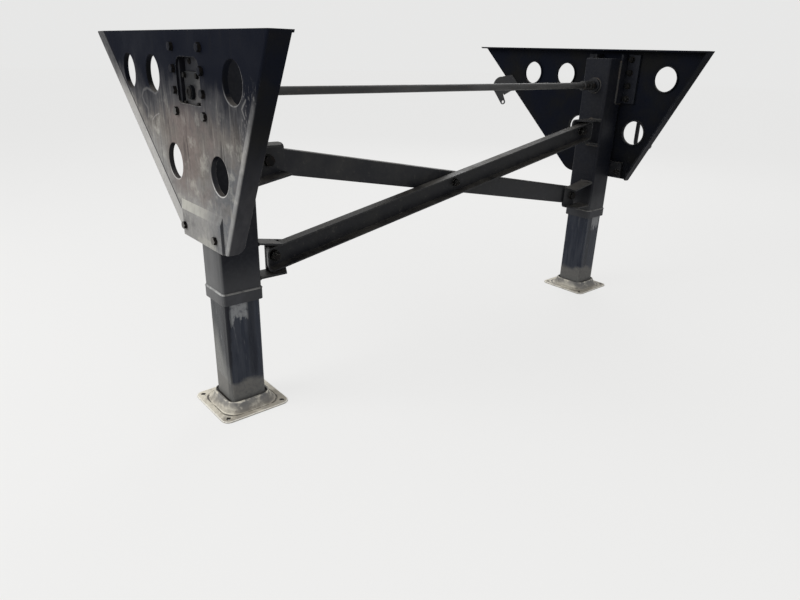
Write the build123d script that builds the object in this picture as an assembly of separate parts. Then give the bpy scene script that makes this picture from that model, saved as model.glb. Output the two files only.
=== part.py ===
from build123d import *
import math
import os

# Semi-trailer landing gear: two telescopic legs on wing plates, joined by an X-brace and a cross shaft.
# Millimetres. X is forward, Y is to the left (road side), Z is up.
# The origin is midway between the legs, in the plane that bolts up under the chassis.

os.makedirs("parts", exist_ok=True)

# Driving sizes
mount_height = 1120.0
leg_spacing = 1858.0
running_gap = 0.05
guide_gap = 0.3

# Leg tubes
outer_width = 127.0
outer_wall = 4.8
outer_corner = 10.0
outer_top_drop = 44.0
outer_end_drop = 746.0
slide_gap = 1.55
inner_wall = 6.4
inner_corner = 9.0
inner_foot_height = 30.0
inner_length = 570.0
collar_wall = 3.0
collar_height = 34.0
collar_lip = 8.0
cap_thickness = 5.0
cap_edge = 3.0

# Shoes
shoe_width = 232.0
shoe_corner = 26.0
shoe_plate = 6.0
dome_slope = 17.0
dome_rim = 9.45
dome_height = 38.0
dome_corner = 30.0
pocket_gap = 2.4
shoe_hole = 12.0
shoe_hole_inset = 21.0

# Wing plates
wing_sheet = 6.35
mount_bar = 12.7
wing_top_front = 445.0
wing_top_rear = 787.0
wing_drop = 568.0
wing_foot_front = 160.0
wing_foot_rear = 175.0
foot_corner_share = 0.8
rear_strip = 78.0
rear_bend = 10.0
front_flange_top = 57.0
front_flange_foot = 47.0
front_flange_corner = 24.0
top_flange = 62.0
fold_radius = 9.0
wing_hole = 103.0
wing_hole_rim = 15.0
wing_hole_rim_wall = 5.0
wing_hole_lip = 3.0
upper_hole_drop = 116.0
lower_hole_rise = 215.0
upper_hole_x = 258.0
rear_hole_x = 459.0
lower_hole_x = 148.0
window_width = 153.0
window_low_drop = 184.0
window_high_drop = 65.0
window_top_corner = 30.0
window_low_corner = 14.0

# Raised pad pressed into the wing's foot, over the strap
pad_raise = 6.35
pad_front = 138.0
pad_rear = 122.0
pad_height = 80.0
pad_side_slope = 8.0
pad_top_slope = 27.0
pad_bend = 4.0

# Rows of bolts that clamp each wing to its leg
bolt_column_x = 91.0
bolt_hole = 17.0
bolt_first_drop = 41.0
bolt_pitch = 55.5
bolt_rows = 4
angle_flange_reach = 130.0
angle_side_thickness = 8.5
angle_side_depth = 43.0
angle_margin = 20.0
strap_half_width = 120.0
strap_margin = 4.0
strap_corner = 10.0
strap_bolt_x = 103.0
strap_bolt_rise = 32.0

# Holes that bolt the gear up under the chassis
chassis_hole = 17.0
chassis_hole_x = 330.0
chassis_rear_hole_x = 640.0
chassis_hole_edge = 36.0

# Cross shaft
shaft_diameter = 25.4
shaft_drop = 153.0
boss_diameter = 62.0
boss_length = 16.0
boss_edge = 3.0
shaft_end_inset = 14.0
shaft_chamfer = 1.5
shaft_clearance = 3.0
coupling_diameter = 39.0
coupling_length = 72.0
coupling_boss_gap = 8.0

# X-brace
brace_depth = 78.0
brace_channel = 40.0
brace_sheet = 4.5
brace_fold = 5.0
brace_bolt_inset = 75.0
brace_back_end = 24.0
brace_lip_end = 39.5
brace_corner = 18.0
brace_mid_drop = 496.0
brace_rise = 294.0
brace_hole = 21.0
brace_mid_hole = 17.0
spacer_diameter = 58.0

# Brackets that carry the braces
bracket_web = 8.0
bracket_flange = 6.0
bracket_reach = 130.0
bracket_depth = 60.0
bracket_flat_side = 52.0
bracket_slope_end = 39.0
bracket_slope_leg = 63.0
bracket_window = 50.0
bracket_corner = 18.0
bracket_slope_cut = 8.0
bracket_flat_cut_web = 12.0
bracket_flat_cut_front = 40.0
bracket_brace_gap = 2.0

# Gear cover and gearbox
cover_width = 104.0
cover_thickness = 9.0
cover_low_drop = 195.0
cover_high_drop = 100.0
cover_corner = 14.0
cover_boss_diameter = 38.0
cover_boss_length = 9.0
cover_edge = 4.0
gearbox_width = 122.0
gearbox_low_drop = 177.0
gearbox_high_drop = 72.0
gearbox_depth = 58.0
gearbox_corner = 18.0
gearbox_edge = 8.0
gearbox_boss_length = 6.0
gearbox_boss_lift = 4.0
input_drop = 114.0
input_boss_diameter = 48.0
input_boss_length = 18.0

# Crank
input_diameter = 22.0
input_reach = 46.0
input_bury = 40.0
tongue_thickness = 12.0
tongue_gap = 0.5
pin_diameter = 10.0
pin_to_shoulder = 23.0
fork_height = 30.0
fork_width = 28.0
fork_bottom = 18.0
fork_neck = 12.0
pin_head = 4.0
pin_head_diameter = 16.0
crank_bar = 20.0
crank_run = 133.5
crank_arm = 345.0
crank_bend = 38.0
grip_diameter = 32.0
grip_length = 102.0
grip_wall = 4.0
grip_collar = 6.0
grip_collar_rim = 3.0

# Bracket with an eye, lapped behind the left wing's rear strip
# Its places are (reach square past the wing's edge, run down along that edge from its top)
eye_plate = 6.0
eye_hole = 16.0
eye_place = (89.0, 305.0)
eye_radius = 13.0
eye_arm_place = (76.0, 236.0)
eye_arm_radius = 20.0
eye_hump_place = (50.0, 228.0)
eye_hump_radius = 46.0
eye_lap_outline = [
    (-35.0, 234.0),
    (12.0, 199.0),
    (50.0, 228.0),
    (62.0, 281.0),
    (19.0, 294.0),
    (-35.0, 337.0),
]

ground = -mount_height
leg_y = leg_spacing / 2
leg_half = outer_width / 2
bore_width = outer_width - 2 * outer_wall
inner_width = bore_width - 2 * slide_gap
collar_width = outer_width + 2 * collar_wall
pocket_width = inner_width + 2 * pocket_gap
dome_top = pocket_width + 2 * dome_rim
dome_base = dome_top + 2 * dome_slope
leg_inner_face = leg_y - leg_half
leg_outer_face = leg_y + leg_half
wing_inner_face = leg_outer_face + mount_bar
wing_outer_face = wing_inner_face + wing_sheet
shaft_z = -shaft_drop
sides = {"right": -1, "left": 1}


def box_between(low, high):
    size = [high[i] - low[i] for i in range(3)]
    middle = [(high[i] + low[i]) / 2 for i in range(3)]
    return Pos(*middle) * Box(*size)


def square_prism(width, corner, low, high):
    face = RectangleRounded(width, width, corner)
    return Pos(0, 0, low) * extrude(face, high - low)


def rod_y(diameter, low, high, x, z):
    rod = Rot(90, 0, 0) * Cylinder(diameter / 2, high - low)
    return Pos(x, (low + high) / 2, z) * rod


def flat_profile(points, low, high):
    """A closed outline of (x, z) points, thickened from y = low to y = high."""
    plane = Plane(origin=(0, high, 0), x_dir=(1, 0, 0), z_dir=(0, -1, 0))
    face = make_face(Polyline(*points, close=True))
    return plane * extrude(face, high - low)


def mirror_side(solid, side):
    """Pieces are drawn for the left leg; the right leg's are their mirror image."""
    if side > 0:
        return solid
    return mirror(solid, about=Plane.XZ)


def at_leg(solid, side):
    return Pos(0, side * leg_y, 0) * solid


# Telescopic leg

outer_top = -outer_top_drop
outer_bottom = -outer_end_drop
inner_bottom = ground + inner_foot_height
inner_top = inner_bottom + inner_length


def outer_tube():
    tube = square_prism(outer_width, outer_corner, outer_bottom, outer_top)
    bore_corner = outer_corner - outer_wall
    tube -= square_prism(bore_width, bore_corner, outer_bottom - 1, outer_top + 1)
    shaft_hole = shaft_diameter + 2 * shaft_clearance
    tube -= rod_y(shaft_hole, -leg_half - 1, 0, 0, shaft_z)
    return tube


def tube_collar():
    low = outer_bottom - collar_lip
    corner = outer_corner + collar_wall
    ring = square_prism(collar_width, corner, low, low + collar_height)
    ring -= square_prism(outer_width, outer_corner, outer_bottom, low + collar_height + 1)
    guide = inner_width + 2 * guide_gap
    ring -= square_prism(guide, inner_corner + guide_gap, low - 1, outer_bottom + 1)
    return ring


def leg_cap():
    cap = square_prism(outer_width, outer_corner, outer_top, outer_top + cap_thickness)
    crown = cap.faces().sort_by(Axis.Z)[-1]
    return fillet(crown.edges(), cap_edge)


def inner_tube():
    tube = square_prism(inner_width, inner_corner, inner_bottom, inner_top)
    hollow_width = inner_width - 2 * inner_wall
    hollow_corner = inner_corner - inner_wall
    tube -= square_prism(hollow_width, hollow_corner, inner_bottom + inner_wall, inner_top + 1)
    return tube


def dome(base, top, height, corner, low):
    lower = Pos(0, 0, low) * RectangleRounded(base, base, corner)
    upper = Pos(0, 0, low + height) * RectangleRounded(top, top, corner * top / base)
    return loft([lower, upper])


def shoe():
    plate = square_prism(shoe_width, shoe_corner, ground, ground + shoe_plate)
    body = plate + dome(dome_base, dome_top, dome_height - shoe_plate, dome_corner, ground + shoe_plate)
    body -= square_prism(pocket_width, inner_corner + pocket_gap, inner_bottom, ground + dome_height + 1)
    hollow_height = inner_foot_height - shoe_plate
    hollow_base = dome_base - 2 * shoe_plate
    hollow_top = dome_top - 3 * shoe_plate
    body -= dome(hollow_base, hollow_top, hollow_height, dome_corner - shoe_plate, ground)
    hole_place = shoe_width / 2 - shoe_hole_inset
    for x in (-hole_place, hole_place):
        for y in (-hole_place, hole_place):
            body -= Pos(x, y, ground + shoe_plate / 2) * Cylinder(shoe_hole / 2, 2 * shoe_plate)
    return body


# Wing plates and what clamps them to the legs

bolt_drops = [bolt_first_drop + bolt_pitch * row for row in range(bolt_rows)]
strap_bolt_drop = wing_drop - strap_bolt_rise
pad_full_drop = wing_drop - pad_height
pad_foot_rear = -pad_rear - pad_side_slope

# The rear strip is bent inboard at a crease parallel to the slanted rear edge
rear_run = wing_top_rear - wing_foot_rear
rear_length = math.hypot(rear_run, wing_drop)
crease_top = -wing_top_rear + rear_strip * rear_length / wing_drop
crease_end_drop = (pad_foot_rear - crease_top) * wing_drop / rear_run
bend_rate = math.tan(math.radians(rear_bend))
edge_down = Vector(rear_run, 0, -wing_drop).normalized()
edge_past = Vector(-wing_drop, 0, -rear_run).normalized()


def cut_bolt_rows(solid, low, high):
    for drop in bolt_drops:
        for x in (-bolt_column_x, bolt_column_x):
            solid -= rod_y(bolt_hole, low, high, x, -drop)
    return solid


def front_flange():
    """The flange folded back from the slanted front edge, narrower at its rounded foot."""
    run = wing_top_front - wing_foot_front
    inward = wing_sheet * math.hypot(run, wing_drop) / wing_drop
    edge = [(wing_top_front, 0), (wing_foot_front, -wing_drop),
            (wing_foot_front - inward, -wing_drop), (wing_top_front - inward, 0)]
    top = wing_outer_face - front_flange_top
    foot = wing_outer_face - front_flange_foot
    side = make_face(Polyline((wing_outer_face, 0), (top, 0), (foot, -wing_drop),
                              (wing_outer_face, -wing_drop), close=True))
    tip = side.vertices().sort_by_distance((foot, -wing_drop, 0))[0]
    side = Plane.YZ * extrude(fillet(tip, front_flange_corner), wing_top_front)
    return flat_profile(edge, top, wing_outer_face) & side


def fold_corner(wing):
    """Rounds the outer corner where the front flange is folded back from the sheet."""
    middle_x = (wing_top_front + wing_foot_front) / 2
    fold = [edge for edge in wing.edges().filter_by(GeomType.LINE)
            if abs(edge.center().X - middle_x) < wing_sheet and abs(edge.center().Y - wing_outer_face) < 0.1
            and abs(edge.center().Z + wing_drop / 2) < wing_sheet]
    return fillet(fold, fold_radius)


def bent_strip():
    """The strip along the rear edge, bent inboard at its crease, with a large corner at its foot."""
    start = Vector(crease_top, 0, 0) - edge_down * rear_strip
    plane = Plane(origin=start, x_dir=edge_past, z_dir=edge_down)
    past = rear_strip + wing_sheet
    depth = past * bend_rate
    section = make_face(Polyline((0, wing_outer_face), (0, wing_inner_face), (past, wing_inner_face - depth),
                                 (past, wing_outer_face - depth), close=True))
    strip = plane * extrude(section, rear_length + 2 * rear_strip)
    outline = [(-wing_top_rear, 0), (crease_top, 0), (pad_foot_rear, -crease_end_drop),
               (pad_foot_rear, -wing_drop), (-wing_foot_rear, -wing_drop)]
    limits = flat_profile(outline, wing_inner_face - rear_strip, wing_outer_face + 1)
    corner = [edge for edge in limits.edges().filter_by(Axis.Y) if abs(edge.center().X + wing_foot_rear) < 1]
    turn = math.atan2(wing_drop, rear_run)
    radius = foot_corner_share * (wing_foot_rear + pad_foot_rear) / math.tan(turn / 2)
    return strip & fillet(corner, radius)


def pad_block(face_y):
    """The pressed pad: a low block with sloping sides and top, standing out from face_y."""

    def level(y, low_x, high_x, drop):
        middle = ((low_x + high_x) / 2, y, -(drop + wing_drop) / 2)
        plane = Plane(origin=middle, x_dir=(1, 0, 0), z_dir=(0, -1, 0))
        return plane * Rectangle(high_x - low_x, wing_drop - drop)

    return loft([level(face_y, pad_foot_rear, pad_front + pad_side_slope, pad_full_drop - pad_top_slope),
                 level(face_y + pad_raise, -pad_rear, pad_front, pad_full_drop)])


def pad_rear_wall():
    """Joins the pad's rear side to the bent strip, which lies deeper towards the foot."""
    depth = (wing_drop - crease_end_drop) * rear_run / rear_length * bend_rate
    step = wing_inner_face + wing_sheet / 2
    plane = Plane(origin=(pad_foot_rear, 0, 0), x_dir=(0, 1, 0), z_dir=(1, 0, 0))
    outline = [(step, -crease_end_drop), (step, -wing_drop),
               (wing_inner_face - depth, -wing_drop), (wing_inner_face, -crease_end_drop)]
    return plane * extrude(make_face(Polyline(*outline, close=True)), wing_sheet)


def top_flange_plate():
    """The flange under the chassis; its outer edge follows the sheet and the bent strip."""
    outer = wing_outer_face - fold_radius
    inner = wing_outer_face - top_flange
    outline = [(wing_top_front, outer), (crease_top, outer), (-wing_top_rear, outer - rear_strip * bend_rate),
               (-wing_top_rear, inner), (wing_top_front, inner)]
    plate = Pos(0, 0, -wing_sheet) * extrude(make_face(Polyline(*outline, close=True)), wing_sheet)
    ends = [(wing_top_front, 0), (wing_foot_front, -wing_drop),
            (-wing_foot_rear, -wing_drop), (-wing_top_rear, 0)]
    return plate & flat_profile(ends, inner, wing_outer_face)


def hole_table():
    """Large round holes of a wing: (x, drop below the mounting plane)."""
    lower_hole_drop = wing_drop - lower_hole_rise
    return [
        (-rear_hole_x, upper_hole_drop),
        (-upper_hole_x, upper_hole_drop),
        (upper_hole_x, upper_hole_drop),
        (-lower_hole_x, lower_hole_drop),
        (lower_hole_x, lower_hole_drop),
    ]


def wing_window():
    """The opening over the leg's gear cover, with larger corners at its top."""
    face = Rectangle(window_width, window_low_drop - window_high_drop)
    face = fillet(face.vertices().group_by(Axis.Y)[-1], window_top_corner)
    face = fillet(face.vertices().group_by(Axis.Y)[0], window_low_corner)
    plane = Plane(origin=(0, wing_outer_face + 1, -(window_low_drop + window_high_drop) / 2),
                  x_dir=(1, 0, 0), z_dir=(0, -1, 0))
    return plane * extrude(face, wing_sheet + 2)


def wing_plate():
    outline = [(crease_top, 0), (wing_top_front, 0), (wing_foot_front, -wing_drop),
               (pad_foot_rear, -wing_drop), (pad_foot_rear, -crease_end_drop)]
    wing = fold_corner(flat_profile(outline, wing_inner_face, wing_outer_face) + front_flange())
    wing = wing + bent_strip() + top_flange_plate()
    pad = pad_block(wing_outer_face)
    raised = pad.faces().sort_by(Axis.Y)[-1].edges().sort_by(Axis.Z)[1:]
    wing = wing + fillet(raised, pad_bend) - pad_block(wing_inner_face) + pad_rear_wall()
    for x, drop in hole_table():
        rim_face = wing_outer_face - wing_hole_rim
        wing += rod_y(wing_hole + 2 * wing_hole_rim_wall, rim_face, wing_outer_face - 1, x, -drop)
        wing -= rod_y(wing_hole, rim_face - 1, wing_outer_face + 1, x, -drop)
    lips = [edge for edge in wing.edges().filter_by(GeomType.CIRCLE)
            if abs(edge.radius - wing_hole / 2) < 0.1 and abs(edge.center().Y - wing_outer_face) < 0.1]
    wing = fillet(lips, wing_hole_lip) - wing_window()
    wing = cut_bolt_rows(wing, wing_inner_face - 1, wing_outer_face + 1)
    for x in (-strap_bolt_x, strap_bolt_x):
        wing -= rod_y(bolt_hole, wing_inner_face - 1, wing_outer_face + pad_raise + 1, x, -strap_bolt_drop)
    hole_y = wing_outer_face - chassis_hole_edge
    for x in (-chassis_rear_hole_x, -chassis_hole_x, chassis_hole_x):
        wing -= Pos(x, hole_y, -wing_sheet / 2) * Cylinder(chassis_hole / 2, 2 * wing_sheet)
    return wing


def mount_angles():
    """Two angles welded to the leg's sides, with the holes that the wing is bolted through."""
    low = -(bolt_drops[-1] + angle_margin)
    high = -(bolt_drops[0] - angle_margin)
    side_face = leg_half
    profile = [
        (side_face, leg_outer_face - angle_side_depth),
        (side_face + angle_side_thickness, leg_outer_face - angle_side_depth),
        (side_face + angle_side_thickness, leg_outer_face),
        (angle_flange_reach, leg_outer_face),
        (angle_flange_reach, wing_inner_face),
        (side_face, wing_inner_face),
    ]
    face = make_face(Polyline(*profile, close=True))
    front = Pos(0, 0, low) * extrude(face, high - low)
    pair = []
    for solid in (front, mirror(front, about=Plane.YZ)):
        pair.append(cut_bolt_rows(solid, leg_outer_face - 1, wing_inner_face + 1))
    return pair


def lower_strap():
    """The bar between the leg and the wing's foot, which fills the raised pad."""
    outer = wing_inner_face + pad_raise
    strap = box_between((-strap_half_width, leg_outer_face, -wing_drop + strap_margin),
                        (strap_half_width, outer, -pad_full_drop - strap_margin))
    strap = fillet(strap.edges().filter_by(Axis.Y), strap_corner)
    for x in (-strap_bolt_x, strap_bolt_x):
        strap -= rod_y(bolt_hole, leg_outer_face - 1, outer + 1, x, -strap_bolt_drop)
    return strap


# Gear cover, gearbox and crank

input_z = -input_drop
gearbox_face = leg_outer_face + gearbox_depth
boss_face = gearbox_face + input_boss_length
shoulder_y = boss_face + input_reach
pin_y = shoulder_y + pin_to_shoulder
crank_start_y = pin_y + fork_bottom + fork_neck
crank_plane_y = crank_start_y + crank_run


def gear_cover():
    low = -cover_low_drop
    high = -cover_high_drop
    face = RectangleRounded(cover_width, high - low, cover_corner)
    plane = Plane(origin=(0, leg_outer_face + cover_thickness, (low + high) / 2),
                  x_dir=(1, 0, 0), z_dir=(0, -1, 0))
    cover = plane * extrude(face, cover_thickness)
    rim = cover.faces().sort_by(Axis.Y)[-1]
    cover = fillet(rim.edges(), cover_edge)
    boss_low = leg_outer_face + cover_thickness
    cover += rod_y(cover_boss_diameter, boss_low - 1, boss_low + cover_boss_length, 0, shaft_z)
    return cover


def gearbox():
    low = -gearbox_low_drop
    high = -gearbox_high_drop
    face = RectangleRounded(gearbox_width, high - low, gearbox_corner)
    plane = Plane(origin=(0, gearbox_face, (low + high) / 2), x_dir=(1, 0, 0), z_dir=(0, -1, 0))
    body = plane * extrude(face, gearbox_depth)
    rim = body.faces().sort_by(Axis.Y)[-1]
    body = fillet(rim.edges(), gearbox_edge)
    body += rod_y(input_boss_diameter, gearbox_face - 1, boss_face, 0, input_z)
    boss_z = shaft_z + gearbox_boss_lift
    body += rod_y(cover_boss_diameter, gearbox_face - 1, gearbox_face + gearbox_boss_length, 0, boss_z)
    bore = input_diameter + 2 * running_gap
    body -= rod_y(bore, boss_face - input_bury - 1, boss_face + 1, 0, input_z)
    return body


def input_shaft():
    shaft = rod_y(input_diameter, boss_face - input_bury, shoulder_y, 0, input_z)
    half = input_diameter / 2
    tongue = box_between((-half, shoulder_y - 4, input_z - tongue_thickness / 2),
                         (half, pin_y, input_z + tongue_thickness / 2))
    tongue += Pos(0, pin_y, input_z) * Cylinder(half, tongue_thickness)
    shaft += tongue
    shaft -= Pos(0, pin_y, input_z) * Cylinder(pin_diameter / 2 + running_gap, input_diameter * 2)
    return shaft


def crank_fork():
    half = fork_width / 2
    fork = box_between((-half, pin_y, input_z - fork_height / 2), (half, crank_start_y, input_z + fork_height / 2))
    fork += Pos(0, pin_y, input_z) * Cylinder(half, fork_height)
    slot_height_z = tongue_thickness + 2 * tongue_gap
    fork -= box_between((-fork_width, pin_y - fork_width, input_z - slot_height_z / 2),
                        (fork_width, pin_y + fork_bottom, input_z + slot_height_z / 2))
    fork -= Pos(0, pin_y, input_z) * Cylinder(pin_diameter / 2, fork_height * 2)
    return fork


def fold_pin():
    pin = Pos(0, pin_y, input_z) * Cylinder(pin_diameter / 2, fork_height + pin_head)
    head_z = input_z + fork_height / 2 + pin_head / 2
    return pin + Pos(0, pin_y, head_z) * Cylinder(pin_head_diameter / 2, pin_head)


def crank_path():
    arm_foot = input_z - crank_arm
    grip_end = crank_plane_y + crank_bend + grip_length - grip_wall
    points = [(0, crank_start_y, input_z), (0, crank_plane_y, input_z),
              (0, crank_plane_y, arm_foot), (0, grip_end, arm_foot)]
    return FilletPolyline(*points, radius=crank_bend)


def crank_rod():
    path = crank_path()
    start = Plane(origin=path @ 0, z_dir=path % 0)
    return sweep(start * Circle(crank_bar / 2), path=path)


def crank_grip():
    low = crank_plane_y + crank_bend
    high = low + grip_length
    z = input_z - crank_arm
    sleeve = rod_y(grip_diameter, low, high, 0, z)
    sleeve -= rod_y(crank_bar, low - 1, high - grip_wall, 0, z)
    collar = rod_y(grip_diameter + 2 * grip_collar_rim, low, low + grip_collar, 0, z)
    return sleeve + (collar - rod_y(crank_bar, low - 1, high, 0, z))


# Cross shaft

boss_inner = leg_inner_face - boss_length
coupling_outer = boss_inner - coupling_boss_gap


def shaft_boss():
    boss = rod_y(boss_diameter, boss_inner, leg_inner_face, 0, shaft_z)
    rim = boss.faces().sort_by(Axis.Y)[0]
    boss = fillet(rim.edges(), boss_edge)
    boss -= rod_y(shaft_diameter + 2 * running_gap, boss_inner - 1, leg_inner_face + 1, 0, shaft_z)
    return boss


def cross_shaft():
    reach = leg_inner_face + shaft_end_inset
    shaft = rod_y(shaft_diameter, -reach, reach, 0, shaft_z)
    return chamfer(shaft.edges().filter_by(GeomType.CIRCLE), shaft_chamfer)


def shaft_coupling():
    low = coupling_outer - coupling_length
    sleeve = rod_y(coupling_diameter, low, coupling_outer, 0, shaft_z)
    sleeve = chamfer(sleeve.edges().filter_by(GeomType.CIRCLE), shaft_chamfer)
    return sleeve - rod_y(shaft_diameter, low - 1, coupling_outer + 1, 0, shaft_z)


# X-brace and its brackets

brace_bolt_y = leg_inner_face - brace_bolt_inset
brace_angle = math.atan2(brace_rise, 2 * brace_bolt_y)
brace_mid_z = -brace_mid_drop


def brace_outline(width, reach, depth):
    """A brace's outline at a depth from the bracket webs: level ends past its bolts, with rounded corners."""
    end = brace_bolt_y + reach
    tilt = math.tan(brace_angle)
    half = width / 2 / math.cos(brace_angle)
    face = make_face(Polyline((end, tilt * end + half), (-end, -tilt * end + half),
                              (-end, -tilt * end - half), (end, tilt * end - half), close=True))
    corner = brace_corner - (brace_depth - width) / 2
    return Pos(0, 0, depth) * fillet(face.vertices(), corner)


def brace(front):
    """A pressed pan with sloping ends, open away from the bracket webs."""
    slant = (brace_lip_end - brace_back_end) / brace_channel
    end_wall = brace_sheet * math.hypot(1, slant)
    inner_width = brace_depth - 2 * brace_sheet

    def inner_reach(depth):
        return brace_back_end + slant * depth - end_wall

    pan = loft([brace_outline(brace_depth, brace_back_end, 0),
                brace_outline(brace_depth, brace_lip_end, brace_channel)])
    back = pan.faces().sort_by(Axis.Z)[0]
    pan = fillet(back.edges(), brace_fold)
    mouth = brace_channel + 1
    pan -= loft([brace_outline(inner_width, inner_reach(brace_sheet), brace_sheet),
                 brace_outline(inner_width, inner_reach(mouth), mouth)])
    bolt_rise = brace_rise / 2
    for place in ((-brace_bolt_y, -bolt_rise), (brace_bolt_y, bolt_rise)):
        pan -= Pos(*place, 0) * Cylinder(brace_hole / 2, 4 * brace_sheet)
    pan -= Cylinder(brace_mid_hole / 2, 4 * brace_sheet)
    facing = 1 if front else -1
    middle = (facing * bracket_web / 2, 0, brace_mid_z)
    return Plane(origin=middle, x_dir=(0, facing, 0), z_dir=(facing, 0, 0)) * pan


def brace_spacer():
    disc = Rot(0, 90, 0) * Cylinder(spacer_diameter / 2, bracket_web)
    disc -= Rot(0, 90, 0) * Cylinder(brace_mid_hole / 2, 2 * bracket_web)
    return Pos(0, 0, brace_mid_z) * disc


def slope_flange_cut():
    """Where the sloped flange has to end, so that the front brace passes it between the flanges."""
    far = leg_inner_face - bracket_reach
    slope = (bracket_slope_leg - bracket_slope_end) / bracket_reach
    tilt = math.tan(brace_angle)
    brace_edge = brace_depth / 2 / math.cos(brace_angle) + tilt * brace_bolt_y + bracket_brace_gap
    flange_edge = bracket_slope_end - bracket_flange - slope * far
    return (brace_edge - flange_edge) / (slope + tilt) - far


def brace_bracket(upper, front_brace):
    """A folded bracket welded to the leg's inner face: web, two flanges and a window by the leg."""
    out = 1 if upper else -1
    bolt_z = brace_mid_z + out * brace_rise / 2
    near = leg_inner_face
    far = leg_inner_face - bracket_reach
    slope = (bracket_slope_leg - bracket_slope_end) / bracket_reach

    def outline(inset, low_y, high_y):
        flat = bolt_z + out * (bracket_flat_side - inset)
        end_low = bolt_z - out * (bracket_slope_end - inset + slope * (low_y - far))
        end_high = bolt_z - out * (bracket_slope_end - inset + slope * (high_y - far))
        return [(low_y, flat), (high_y, flat), (high_y, end_high), (low_y, end_low)]

    def block(points, low_x, high_x):
        plane = Plane(origin=(low_x, 0, 0), x_dir=(0, 1, 0), z_dir=(1, 0, 0))
        return plane * extrude(make_face(Polyline(*points, close=True)), high_x - low_x)

    def end_cut(at_web, at_front, to_z):
        points = [(bracket_web / 2, far - 1), (bracket_depth + 1, far - 1),
                  (bracket_depth + 1, far + at_front), (bracket_web / 2, far + at_web)]
        low, high = sorted((bolt_z, to_z))
        return Pos(0, 0, low) * extrude(make_face(Polyline(*points, close=True)), high - low)

    body = block(outline(0, far, near), -bracket_web / 2, bracket_depth)
    body = fillet([edge for edge in body.edges().filter_by(Axis.X)
                   if abs(edge.center().Y - far) < 1], bracket_corner)
    body -= block(outline(bracket_flange, far - 5, near + 5), bracket_web / 2, bracket_depth + 1)
    body -= end_cut(bracket_flat_cut_web, bracket_flat_cut_front, bolt_z + 2 * out * bracket_flat_side)
    slope_cut = max(bracket_slope_cut, slope_flange_cut()) if front_brace else bracket_slope_cut
    body -= end_cut(slope_cut, slope_cut, bolt_z - 2 * out * bracket_slope_leg)
    window = outline(bracket_flange, near - bracket_window, near + 5)
    body -= block(window, -bracket_web, bracket_web)
    hole = Rot(0, 90, 0) * Cylinder(brace_hole / 2, 4 * bracket_web)
    return body - Pos(0, brace_bolt_y, bolt_z) * hole


def eye_bracket():
    """A plate lapped behind the left wing's rear strip, with a humped back and an eye at its lower tip."""
    past = (edge_past - Vector(0, bend_rate, 0)).normalized()
    tip = Vector(-wing_top_rear, wing_inner_face - rear_strip * bend_rate, 0)
    plane = Plane(origin=tip, x_dir=past, z_dir=past.cross(edge_down))
    hump = Pos(*eye_hump_place) * Circle(eye_hump_radius)
    arm = make_face(make_hull([Pos(*eye_arm_place) * Edge.make_circle(eye_arm_radius),
                               Pos(*eye_place) * Edge.make_circle(eye_radius)]))
    lap = make_face(Polyline(*eye_lap_outline, close=True))
    plate = extrude(hump + arm + lap, eye_plate)
    return plane * (plate - Pos(*eye_place, eye_plate / 2) * Cylinder(eye_hole / 2, 2 * eye_plate))


# Build every node

nodes = {}

for name, side in sides.items():
    nodes[f"{name}_outer_tube"] = at_leg(mirror_side(outer_tube(), side), side)
    nodes[f"{name}_tube_collar"] = at_leg(tube_collar(), side)
    nodes[f"{name}_leg_cap"] = at_leg(leg_cap(), side)
    nodes[f"{name}_inner_tube"] = at_leg(inner_tube(), side)
    nodes[f"{name}_shoe"] = at_leg(shoe(), side)
    nodes[f"{name}_wing_plate"] = mirror_side(wing_plate(), side)
    nodes[f"{name}_mount_angles"] = Compound([mirror_side(solid, side) for solid in mount_angles()])
    nodes[f"{name}_lower_strap"] = mirror_side(lower_strap(), side)
    nodes[f"{name}_shaft_boss"] = mirror_side(shaft_boss(), side)
    nodes[f"{name}_shaft_coupling"] = mirror_side(shaft_coupling(), side)
    nodes[f"{name}_upper_brace_bracket"] = mirror_side(brace_bracket(True, side > 0), side)
    nodes[f"{name}_lower_brace_bracket"] = mirror_side(brace_bracket(False, side < 0), side)

nodes["right_gear_cover"] = mirror_side(gear_cover(), -1)
nodes["left_gearbox"] = gearbox()
nodes["cross_shaft"] = cross_shaft()
nodes["front_brace"] = brace(True)
nodes["rear_brace"] = brace(False)
nodes["brace_spacer"] = brace_spacer()
nodes["crank_input_shaft"] = input_shaft()
nodes["crank_fork"] = crank_fork()
nodes["crank_fold_pin"] = fold_pin()
nodes["crank_rod"] = crank_rod()
nodes["crank_grip"] = crank_grip()
nodes["left_eye_bracket"] = eye_bracket()

for node, shape in nodes.items():
    export_step(shape, f"parts/{node}.step")
print(len(nodes), "nodes written")
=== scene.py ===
import math
import random

import bmesh
import bpy
from mathutils import Matrix, Vector, noise


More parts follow.
